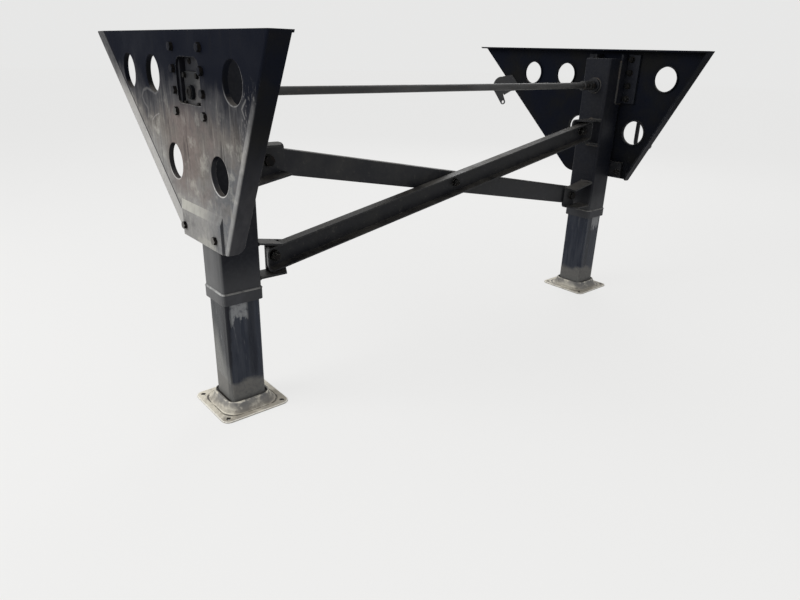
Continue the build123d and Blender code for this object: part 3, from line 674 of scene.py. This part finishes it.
def shoeSteel():
    r = Recipe("shoeSteel", shine=0.35)
    ring = r.add("ShaderNodeAttribute", attribute_name="ringWidth").outputs["Fac"]
    r.haze = r.cloud(11.0, 6.0, 0.62)
    r.blots = r.cloud(30.0, 6.0, 0.65, shift=(2, 5, 1))
    r.grit = r.cloud(110.0, 6.0, 0.7)
    width = r.plus(ring, r.swing(r.blots, 0.006))
    # painted shade in the crease at the dome's foot
    crease = r.times(r.within(ring, *shoe["creaseWidth"], 0.0014), r.ease(r.blots, 0.34, 0.52))
    foot = r.times(r.within(width, *shoe["footWidth"], 0.003), r.ease(r.haze, 0.36, 0.56))
    worn = r.times(r.within(ring, *shoe["wornWidth"], 0.001), r.ease(r.grit, 0.30, 0.5, 0.4, 1.0))
    rubbed = r.times(r.within(ring, *shoe["rubbedWidth"], 0.002), r.ease(r.blots, 0.42, 0.60))
    # painted shade: the flange's outer rim is darkened, with soil, as the shadow line under its lip
    rim = r.times(r.ease(r.size(r.nz), 0.5, 0.2), r.ease(ring, *shoe["rimWidth"]))
    colour = shoeTones(r, width)
    for amount, strength, over in (
        (crease, 0.85, "crease"),
        (foot, 0.4, "soilAndShade"),
        # painted shade in the pocket round the tube's foot
        (r.ease(ring, *shoe["pocketShadeWidth"]), 1.0, "crease"),
        (worn, 0.9, "bright"),
        (rubbed, 0.6, "cream"),
        (r.ease(r.nz, -0.2, -0.6), 0.8, "soilAndShade"),
        (rim, 0.6, "soilAndShade"),
    ):
        colour = r.blend(r.times(amount, strength), colour, shoe[over])
    r.dress(colour, r.patchy(r.haze, 0.46, 0.76))
    r.bump(r.plus(r.blots, r.times(r.grit, 0.5)), 0.0010, 0.4)
    return r.material


def darkSteel():
    look = {"steel": tone(0.016), "rub": tone(0.055, 0.01), "stain": (0.045, 0.031, 0.022, 1)}
    r = Recipe("darkSteel", shine=0.4, metal=0.25)
    runs = r.cloud(14.0, 5.0, 0.6, stretch=(1, 0.2, 1))
    grit = r.cloud(90.0, 4.0, 0.65)
    colour = r.blend(r.ease(runs, 0.42, 0.68), look["steel"], look["rub"])
    colour = r.blend(r.times(r.ease(grit, 0.56, 0.70), 0.7), colour, look["stain"])
    r.dress(colour, r.patchy(runs, 0.34, 0.58))
    r.bump(grit, 0.0004, 0.3)
    return r.material


def boltSteel():
    # dark, with the wing's own film of dust on the heads that are on a wing; the lower heads' edges carry
    # painted glints along with wear
    look = {
        "steel": tone(0.007),
        "stain": (0.013, 0.011, 0.010, 1),
        "film": (0.006, 0.007, 0.011, 1),
        "chalk": (0.145, 0.139, 0.131, 1),
        "edge": (0.44, 0.43, 0.40, 1),
    }
    r = Recipe("boltSteel", shine=0.04)
    haze = r.cloud(60.0, 5.0, 0.6)
    grit = r.cloud(220.0, 4.0, 0.6)
    colour = r.blend(r.ease(haze, 0.45, 0.62), look["steel"], look["stain"])
    film = r.blend(r.ease(r.z, -0.12, -0.27), look["film"], look["chalk"])
    onWing = r.times(r.outward(), r.ease(r.size(r.x), 0.070, 0.078))
    colour = r.blend(r.times(onWing, r.ease(grit, 0.3, 0.6, 0.75, 1.0)), colour, film)
    # painted glints on the edges of the lower heads, with wear
    rubbed = r.times(r.edge(0.0009), r.ease(grit, 0.4, 0.6, 0.2, 0.9), r.ease(r.z, -0.12, -0.28, 0.0, 0.7))
    colour = r.blend(rubbed, colour, look["edge"])
    r.dress(colour, r.patchy(haze, 0.42, 0.66))
    r.bump(grit, 0.0003, 0.35)
    return r.material


def weldPaint():
    look = {
        "paint": tone(0.014),
        "stain": (0.045, 0.034, 0.027, 1),
        "flake": (0.155, 0.152, 0.145, 1),
        "brightTone": (0.42, 0.42, 0.41, 1),
    }
    r = Recipe("weldPaint", shine=0.35)
    haze = r.cloud(45.0, 5.0, 0.62)
    colour = r.blend(r.ease(haze, 0.46, 0.66), look["paint"], look["stain"])

    # the bead round the collar is paler, and rubbed bright on its outer side
    pale = r.times(r.within(r.z, -0.730, -0.712, 0.004), r.ease(haze, 0.34, 0.56, 0.4, 1.0))
    colour = r.blend(r.most(pale, r.times(r.edge(0.0012), 0.35)), colour, look["flake"])
    bright = r.times(pale, r.ease(r.legOffset(), 0.058, 0.063), 0.8)
    colour = r.blend(bright, colour, look["brightTone"])
    r.dress(colour, r.patchy(haze, 0.40, 0.64))
    r.bump(r.cloud(300.0, 3.0, 0.5), 0.0003, 0.3)
    return r.material


def plainSteel():
    look = {"steel": tone(0.24), "stain": (0.09, 0.062, 0.042, 1)}
    r = Recipe("plainSteel", shine=0.5)
    haze = r.cloud(40.0, 5.0, 0.65)
    colour = r.blend(r.ease(haze, 0.48, 0.66), look["steel"], look["stain"])
    r.dress(colour, r.patchy(haze, 0.28, 0.62))
    r.feed(r.shader.inputs["Metallic"], r.ease(haze, 0.66, 0.48, 0.1, 0.95))
    r.bump(haze, 0.0004, 0.3)
    return r.material


def gripPlastic():
    look = {"plastic": tone(0.016), "rubbed": tone(0.045), "ribs": 1100.0}  # ribs in radians a metre
    r = Recipe("gripPlastic", shine=0.35)
    haze = r.cloud(30.0, 5.0, 0.6)
    colour = r.blend(r.ease(haze, 0.45, 0.7), look["plastic"], look["rubbed"])
    r.dress(colour, r.patchy(haze, 0.45, 0.65))
    ribs = r.sums("SINE", r.times(r.y, look["ribs"]))
    r.bump(r.plus(ribs, r.cloud(400.0, 2.0, 0.5)), 0.0004, 0.5)
    return r.material


def dressNodes():
    finishes = [  # endings of the nodes' names, material; the last one takes what is left
        (("wing_plate",), wingPaint()),
        (("outer_tube", "mount_angles", "leg_cap"), legPaint("legPaint", 0.0095)),
        (("tube_collar",), legPaint("collarPaint", 0.028)),
        (("inner_tube",), tubeGreaseAndShade()),
        (("shoe",), shoeSteel()),
        (("cross_shaft", "shaft_coupling"), darkSteel()),
        (("crank_input_shaft", "crank_fold_pin"), plainSteel()),
        (("crank_grip",), gripPlastic()),
        (("gear_cover",), coverPaint()),
        (("",), framePaint()),
    ]
    for name, piece in nodes.items():
        chosen = next(material for endings, material in finishes if name.endswith(endings))
        for slot in piece.material_slots:
            slot.material = chosen


dressNodes()
bolt = boltSteel()
weld = weldPaint()
print("solids are dressed")


# Small pieces: bolts, screws and weld beads, each side's set as one piece, and the pressed shoes

sharpEdge = math.radians(32)


def makeMesh(name, work):
    mesh = bpy.data.meshes.new(name)
    bmesh.ops.recalc_face_normals(work, faces=work.faces)
    work.to_mesh(mesh)
    work.free()
    made = bpy.data.objects.new(name, mesh)
    bpy.context.scene.collection.objects.link(made)
    return made


def makePiece(name, work, material, body):
    piece = makeMesh(name, work)
    mesh = piece.data
    mesh.materials.append(material)
    mesh.polygons.foreach_set("use_smooth", [True] * len(mesh.polygons))
    mesh.set_sharp_from_angle(angle=sharpEdge)
    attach(piece, body)
    return piece


def addRings(work, rings, matrix=Matrix.Identity(4), closed=False):
    # joins each ring of points to the next; the ends are capped, or joined to each other
    made = [[work.verts.new(matrix @ Vector(point)) for point in ring] for ring in rings]
    following = made[1:] + made[:1] if closed else made[1:]
    for low, high in zip(made, following):
        for i, corner in enumerate(low):
            j = (i + 1) % len(low)
            work.faces.new((corner, low[j], high[j], high[i]))
    if not closed:
        work.faces.new(made[0][::-1])
        work.faces.new(made[-1])


def circle(radius, height, steps=32):
    turns = [math.tau * i / steps for i in range(steps)]
    return [(radius * math.cos(a), radius * math.sin(a), height) for a in turns]


def standing(place, direction):
    # a fastener's own frame, turned at random about its axis
    turn = Vector(direction).to_track_quat("Z", "Y").to_matrix().to_4x4()
    return Matrix.Translation(place) @ turn @ Matrix.Rotation(random.uniform(0, math.pi / 3), 4, "Z")


# Fasteners; their sizes are in metres, and the flats, washer and shank are widths

fastener = {
    "points": 36,  # round a hexagon
    "trim": 0.475,  # radius that the corners are turned down from, as a share of the flats
    "chamfer": math.radians(30),
    "flatTop": 0.72,  # share of the trimmed radius
    "crown": 0.0002,
    "bore": 0.55,  # share of the shank
    "lip": 0.3,  # share of the washer's thickness
    "threadPoints": 24,
    "ringsPerPitch": 5,
    "threadDepth": 0.42,  # share of the pitch
    "endTaper": 0.90,
    "sunk": 0.0005,
}


def hexagon(flats, height, trim=None):
    # trim is the radius that the corners are turned down from
    steps = fastener["points"]
    ring = []
    for i in range(steps):
        a = math.tau * i / steps
        nearest = (a + math.pi / 6) % (math.pi / 3) - math.pi / 6
        radius = flats / 2 / math.cos(nearest)
        drop = 0.0 if trim is None else max(0.0, radius - trim) * math.tan(fastener["chamfer"])
        ring.append((radius * math.cos(a), radius * math.sin(a), height - drop))
    return ring


def addHexagon(work, spot, flats, low, high, inner, rise=0.0):
    trim, steps = flats * fastener["trim"], fastener["points"]
    addRings(work, [hexagon(flats, low), hexagon(flats, high, trim),
                    circle(trim, high, steps), circle(inner, high + rise, steps)], spot)


def addWasher(work, spot, size):
    radius, thickness = size["washer"] / 2, size["washerThickness"]
    lip = thickness * fastener["lip"]
    addRings(work, [circle(radius - lip * fastener["lip"], 0), circle(radius, lip),
                    circle(radius, thickness - lip), circle(radius - lip, thickness)], spot)


def addHead(work, place, direction, size, washer=True):
    spot = standing(place, direction)
    low = 0.0
    if washer:
        addWasher(work, spot, size)
        low = size["washerThickness"]
    inner = size["flats"] * fastener["trim"] * fastener["flatTop"]
    addHexagon(work, spot, size["flats"], low, low + size["head"], inner, fastener["crown"])


def addThread(work, spot, size, foot):
    # the bolt's end, past its nut
    rings, steps = [], fastener["threadPoints"]
    count = round(size["tail"] / size["pitch"] * fastener["ringsPerPitch"])
    for k in range(count + 1):
        z = foot + size["tail"] * k / count
        taper = fastener["endTaper"] if k == count else 1.0
        ring = []
        for i in range(steps):
            turn = (z / size["pitch"] - i / steps) % 1
            groove = size["pitch"] * fastener["threadDepth"] * (1 - abs(2 * turn - 1))
            radius = size["shank"] / 2 * taper - groove
            a = math.tau * i / steps
            ring.append((radius * math.cos(a), radius * math.sin(a), z))
        rings.append(ring)
    addRings(work, rings, spot)


def addNut(work, place, direction, size):
    spot = standing(place, direction)
    addWasher(work, spot, size)
    low = size["washerThickness"]
    high = low + size["nut"]
    addHexagon(work, spot, size["flats"], low, high, size["shank"] * fastener["bore"])
    addThread(work, spot, size, high - fastener["sunk"])


wingBolts = {
    "x": 0.091, "drops": (0.041, 0.0965, 0.152, 0.2075),
    "strapX": 0.103, "strapDrop": 0.536, "padFace": 1.0179,
    "flats": 0.0205, "head": 0.0100, "nut": 0.0115, "washer": 0.028, "washerThickness": 0.0024,
    "shank": 0.0135, "tail": 0.006, "pitch": 0.0018,
}


def makeWingBolts(side, sign):
    work = bmesh.new()
    size = wingBolts
    places = [(x, drop, wingFace) for x in (-size["x"], size["x"]) for drop in size["drops"]]
    places += [(x, size["strapDrop"], size["padFace"]) for x in (-size["strapX"], size["strapX"])]
    for x, drop, face in places:
        addHead(work, (x, sign * face, -drop), (0, sign, 0), size, washer=False)
        addNut(work, (x, sign * outerFace, -drop), (0, -sign, 0), size)
    makePiece(f"{side}_wing_bolts", work, bolt, "gear_frame")


braceBolts = {  # at the braces' ends, on the brackets
    "y": 0.7905, "z": -0.496, "rise": 0.147, "webHalf": 0.004, "sheet": 0.0045,
    "flats": 0.030, "head": 0.0125, "nut": 0.016, "washer": 0.037, "washerThickness": 0.003,
    "shank": 0.020, "tail": 0.009, "pitch": 0.0025,
}
crossBolt = {  # where the braces cross
    "flats": 0.024, "head": 0.010, "nut": 0.0132, "washer": 0.031, "washerThickness": 0.003,
    "shank": 0.016, "tail": 0.008, "pitch": 0.002,
}


def makeBraceBolts():
    work = bmesh.new()
    back, front = braceBolts["webHalf"], braceBolts["webHalf"] + braceBolts["sheet"]
    for sign in (-1, 1):
        for rise in (-1, 1):
            toFront = 1 if sign == rise else -1  # the front brace runs from the near foot to the far top
            y, z = sign * braceBolts["y"], braceBolts["z"] + rise * braceBolts["rise"]
            addNut(work, (toFront * front, y, z), (toFront, 0, 0), braceBolts)
            addHead(work, (-toFront * back, y, z), (-toFront, 0, 0), braceBolts)
    addNut(work, (front, 0, braceBolts["z"]), (1, 0, 0), crossBolt)
    addHead(work, (-front, 0, braceBolts["z"]), (-1, 0, 0), crossBolt)
    makePiece("brace_bolts", work, bolt, "gear_frame")


couplingBolts = {
    "y": 0.8055, "spread": 0.019, "sleeve": 0.0190,
    "flats": 0.017, "head": 0.0065, "nut": 0.0085, "washer": 0.020, "washerThickness": 0.0018,
    "shank": 0.010, "tail": 0.004, "pitch": 0.0015,
}


def makeCouplingBolts():
    work = bmesh.new()
    size = couplingBolts
    for sign in (-1, 1):
        for shift in (-size["spread"], size["spread"]):
            y = sign * size["y"] + shift
            addHead(work, (size["sleeve"], y, shaftZ), (1, 0, 0), size)
            addNut(work, (-size["sleeve"], y, shaftZ), (-1, 0, 0), size)
    makePiece("coupling_bolts", work, bolt, "cross_shaft")


screw = {"flats": 0.013, "head": 0.0055, "washer": 0.016, "washerThickness": 0.0012}
coverScrews = {"x": 0.041, "drops": (0.111, 0.184), "face": 1.0015}  # on the near leg
gearboxScrews = {"x": 0.046, "drops": (0.088, 0.161), "face": 1.0505}  # on the far leg
bossCap = {"face": 1.0105, "radius": 0.0165, "hub": 0.009, "height": 0.003}
plug = {"x": -0.0233, "z": -0.0765, "radius": 0.0075, "hub": 0.004, "height": 0.004}


def addScrews(work, sign, rows):
    for x in (-rows["x"], rows["x"]):
        for drop in rows["drops"]:
            addHead(work, (x, sign * rows["face"], -drop), (0, sign, 0), screw)


def addCap(work, place, direction, size):
    # a turned ring with a rounded shoulder: radius and share of the height, from the foot over and in
    outer, inner, height = size["radius"], size["hub"], size["height"]
    profile = [(outer, 0.0), (outer, 0.6), (outer - height * 0.25, 0.93), (outer - height * 0.45, 1.0),
               (inner + 0.0012, 1.0), (inner, 0.75), (inner, 0.3), (0.0008, 0.28)]
    addRings(work, [circle(radius, height * share) for radius, share in profile], standing(place, direction))


def makeCoverScrews():
    work = bmesh.new()
    out = (0, -1, 0)
    addScrews(work, -1, coverScrews)
    addCap(work, (0, -bossCap["face"], shaftZ), out, bossCap)
    addCap(work, (plug["x"], -outerFace, plug["z"]), out, plug)
    makePiece("right_cover_screws", work, bolt, "gear_frame")


def makeGearboxScrews():
    work = bmesh.new()
    addScrews(work, 1, gearboxScrews)
    makePiece("left_gearbox_screws", work, bolt, "gear_frame")


# Weld beads

bead = {
    "step": 0.001, "ripple": 4, "rippleDepth": 0.16, "wander": 0.05, "arc": 7, "sink": 0.0004, "belly": 1.3,
    "endSize": 0.45, "endGrowth": 0.12,
}


def beadRing(point, first, second, reach):
    # a bead's section: the corner, then an arc from one face to the other, with its ends sunk in them
    last = bead["arc"] - 1
    ring = [point - bead["sink"] * (first + second)]
    for t in range(bead["arc"]):
        a = math.pi / 2 * t / last
        along = reach * math.cos(a) ** bead["belly"] - (bead["sink"] if t == last else 0)
        across = reach * math.sin(a) ** bead["belly"] - (bead["sink"] if t == 0 else 0)
        ring.append(point + first * along + second * across)
    return ring


def addBead(work, path, size, closed=False):
    # a weld bead in the corner between two faces; path has (point, along one face, along the other)
    rings = []
    for k, (point, first, second) in enumerate(path):
        swell = 1 + bead["rippleDepth"] * ((k % bead["ripple"]) / bead["ripple"] - 0.5)
        reach = size * swell * (1 + random.uniform(-bead["wander"], bead["wander"]))
        if not closed:
            fromEnd = min(k, len(path) - 1 - k)
            reach *= min(1.0, bead["endSize"] + bead["endGrowth"] * fromEnd)
        rings.append(beadRing(point, first, second, reach))
    addRings(work, rings, closed=closed)


def wayAt(angle):
    # a level direction
    return Vector((math.cos(angle), math.sin(angle), 0))


def squareSides():
    # a square's sides seen from above: each one's heading, the way out from it and the way along it
    for quarter in range(4):
        heading = quarter * math.pi / 2
        out = wayAt(heading)
        yield heading, out, Vector((-out.y, out.x, 0))


def straightPath(start, end, first, second):
    start, end = Vector(start), Vector(end)
    count = max(2, round((end - start).length / bead["step"]))
    first, second = Vector(first).normalized(), Vector(second).normalized()
    return [(start.lerp(end, k / count), first, second) for k in range(count + 1)]


def ringPath(centre, radius, axis):
    # round a boss or rod that stands on a face; axis points away from the face
    axis = Vector(axis)
    side = axis.orthogonal().normalized()
    other = axis.cross(side)
    count = round(math.tau * radius / bead["step"] / bead["ripple"]) * bead["ripple"]
    path = []
    for k in range(count):
        a = math.tau * k / count
        out = side * math.cos(a) + other * math.sin(a)
        path.append((Vector(centre) + out * radius, out, axis))
    return path


def squarePath(centre, width, corner):
    # round a square tube that stands on a level face
    straight = width - 2 * corner
    up = Vector((0, 0, 1))
    path = []
    for heading, out, along in squareSides():
        count = round(straight / bead["step"])
        for k in range(count):
            spot = out * (width / 2) + along * (straight * (k / count - 0.5))
            path.append((Vector(centre) + spot, out, up))
        hub = out * (width / 2 - corner) + along * (straight / 2)
        count = round(corner * math.pi / 2 / bead["step"])
        for k in range(count):
            turned = wayAt(heading + math.pi / 2 * k / count)
            path.append((Vector(centre) + hub + turned * corner, turned, up))
    return path


welds = {  # bead sizes, and where the beads run
    "bracket": 0.005, "bracketDepth": 0.060, "flatSide": 0.052, "slopeLeg": 0.063, "flange": 0.006,
    "slope": 24 / 130,
    "angle": 0.006, "angleEdge": 0.9495, "angleLow": -0.2275, "angleHigh": -0.046,
    "collar": 0.0044, "collarZ": -0.720,
    "boss": 0.004, "bossRadius": 0.031,
    "strap": 0.005, "strapLow": -0.564, "strapHigh": -0.492, "strapHalf": 0.052,
    "crank": 0.004, "crankRadius": 0.010, "crankPlace": (0, 1.1675, -0.114),
}


def addBracketWelds(work, sign, rise):
    # outside and inside both flanges of a bracket, the level one and the sloping one
    face = sign * innerFace
    boltZ = braceBolts["z"] + rise * braceBolts["rise"]
    half, front, thick = braceBolts["webHalf"], welds["bracketDepth"], rise * welds["flange"]
    flat, sloped = boltZ + rise * welds["flatSide"], boltZ - rise * welds["slopeLeg"]
    inward, tilted = (0, -sign, 0), (0, -sign, rise * welds["slope"])
    for back, z, way, second in (
        (-half, flat, rise, inward),
        (-half, sloped, -rise, tilted),
        (half, flat - thick, -rise, inward),
        (half, sloped + thick, rise, tilted),
    ):
        addBead(work, straightPath((back, face, z), (front, face, z), (0, 0, way), second), welds["bracket"])


def makeWelds(side, sign):
    work = bmesh.new()
    for rise in (-1, 1):
        addBracketWelds(work, sign, rise)
    outer, edge = sign * outerFace, sign * welds["angleEdge"]
    low, high = welds["angleLow"], welds["angleHigh"]
    for way in (-1, 1):
        x = way * legHalf
        for end, first in (((x, edge, high), (0, -sign, 0)), ((x, outer, low), (0, 0, -1))):
            addBead(work, straightPath((x, edge, low), end, first, (way, 0, 0)), welds["angle"])
    collar = squarePath((0, sign * leg["y"], welds["collarZ"]), leg["tube"], leg["corner"])
    addBead(work, collar, welds["collar"], closed=True)
    boss = ringPath((0, sign * innerFace, shaftZ), welds["bossRadius"], (0, -sign, 0))
    addBead(work, boss, welds["boss"], closed=True)
    half = welds["strapHalf"]
    for z, way in ((welds["strapLow"], -1), (welds["strapHigh"], 1)):
        strap = straightPath((-half, outer, z), (half, outer, z), (0, 0, way), (0, sign, 0))
        addBead(work, strap, welds["strap"])
    makePiece(f"{side}_weld_beads", work, weld, "gear_frame")


def makeCrankWeld():
    work = bmesh.new()
    addBead(work, ringPath(welds["crankPlace"], welds["crankRadius"], (0, 1, 0)), welds["crank"], closed=True)
    makePiece("crank_weld_bead", work, weld, "crank")


# Shoes

pressedShoe = {
    "rings": [  # half width, corner radius, height above the ground, from under the dome out, over and in
        (0.0500, 0.020, 0.0240), (0.0630, 0.034, 0.0235), (0.0720, 0.044, 0.0140), (0.0800, 0.052, 0.0020),
        (0.0830, 0.054, 0.0003), (0.1120, 0.024, 0.0000), (0.1150, 0.0255, 0.0008), (0.1160, 0.026, 0.0030),
        (0.1156, 0.0258, 0.0052), (0.1138, 0.0245, 0.0064), (0.1080, 0.026, 0.0066), (0.0985, 0.040, 0.0064),
        (0.0962, 0.046, 0.0064), (0.0948, 0.050, 0.0054), (0.0934, 0.052, 0.0058), (0.0915, 0.054, 0.0070),
        (0.0880, 0.056, 0.0092), (0.0840, 0.055, 0.0155), (0.0805, 0.051, 0.0240), (0.0775, 0.046, 0.0315),
        (0.0746, 0.041, 0.0360), (0.0715, 0.035, 0.0379), (0.0680, 0.028, 0.0376), (0.0656, 0.0225, 0.0360),
        (0.0645, 0.0200, 0.0330), (0.0642, 0.0190, 0.0302),
    ],
    "cornerSteps": 12,
    "sideSteps": 6,
    "holePlace": 0.095,
    "hole": 0.006,
    "punch": (-0.01, 0.02),  # from and to, across the sheet
    "wave": 0.0005,
    "waveScale": 28,
    "waveShift": 5,
    "stillBelow": 0.004,
    "sharpEdge": math.radians(50),
}


def roundedRing(half, corner, height):
    ring = []
    reach = half - corner
    for heading, out, along in squareSides():
        for k in range(pressedShoe["sideSteps"]):
            ring.append(out * half + along * reach * (2 * k / pressedShoe["sideSteps"] - 1))
        hub = out * reach + along * reach
        for k in range(pressedShoe["cornerSteps"]):
            ring.append(hub + wayAt(heading + math.pi / 2 * k / pressedShoe["cornerSteps"]) * corner)
    return [(point.x, point.y, height) for point in ring]


def waveSheet(work, shift):
    # the pressed sheet waves a little, and lies still at its lower edge
    for vert in work.verts:
        if vert.co.z > pressedShoe["stillBelow"]:
            place = vert.co * pressedShoe["waveScale"] + Vector((0, 0, shift))
            vert.co.z += pressedShoe["wave"] * noise.noise(place)


def makePunch(centre):
    work = bmesh.new()
    for x in (-1, 1):
        for y in (-1, 1):
            spot = centre + Vector((x, y, 0)) * pressedShoe["holePlace"]
            addRings(work, [circle(pressedShoe["hole"], height, 24) for height in pressedShoe["punch"]],
                     Matrix.Translation(spot))
    return makeMesh("shoeHoles", work)


def bakeShoe(piece, punch):
    # smooths the sheet and cuts its bolt holes, in the mesh itself
    smooth = piece.modifiers.new("smooth", "SUBSURF")
    smooth.levels = smooth.render_levels = 1
    cut = piece.modifiers.new("holes", "BOOLEAN")
    cut.object = punch
    cut.solver = "EXACT"
    bpy.context.view_layer.update()
    baked = bpy.data.meshes.new_from_object(piece.evaluated_get(bpy.context.evaluated_depsgraph_get()))
    piece.modifiers.clear()
    piece.data = baked
    baked.set_sharp_from_angle(angle=pressedShoe["sharpEdge"])
    bpy.data.objects.remove(punch)


def makeShoe(side, sign):
    work = bmesh.new()
    rings = [roundedRing(*size) for size in pressedShoe["rings"]]
    addRings(work, rings)
    widths = [size[0] for size in pressedShoe["rings"] for _ in rings[0]]
    waveSheet(work, sign * pressedShoe["waveShift"])
    centre = Vector((0, sign * leg["y"], studio["floorZ"]))
    bmesh.ops.translate(work, verts=work.verts, vec=centre)
    steel = nodes[f"{side}_shoe"].material_slots[0].material
    piece = makePiece(f"{side}_pressed_shoe", work, steel, "gear_frame")
    piece.data.attributes.new("ringWidth", "FLOAT", "POINT").data.foreach_set("value", widths)
    bakeShoe(piece, makePunch(centre))
    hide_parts(f"{side}_shoe")


for side, sign in sides.items():
    makeShoe(side, sign)
    makeWingBolts(side, sign)
    makeWelds(side, sign)
makeBraceBolts()
makeCouplingBolts()
makeCoverScrews()
makeGearboxScrews()
makeCrankWeld()
print("bolts, screws, weld beads and pressed shoes are in place")
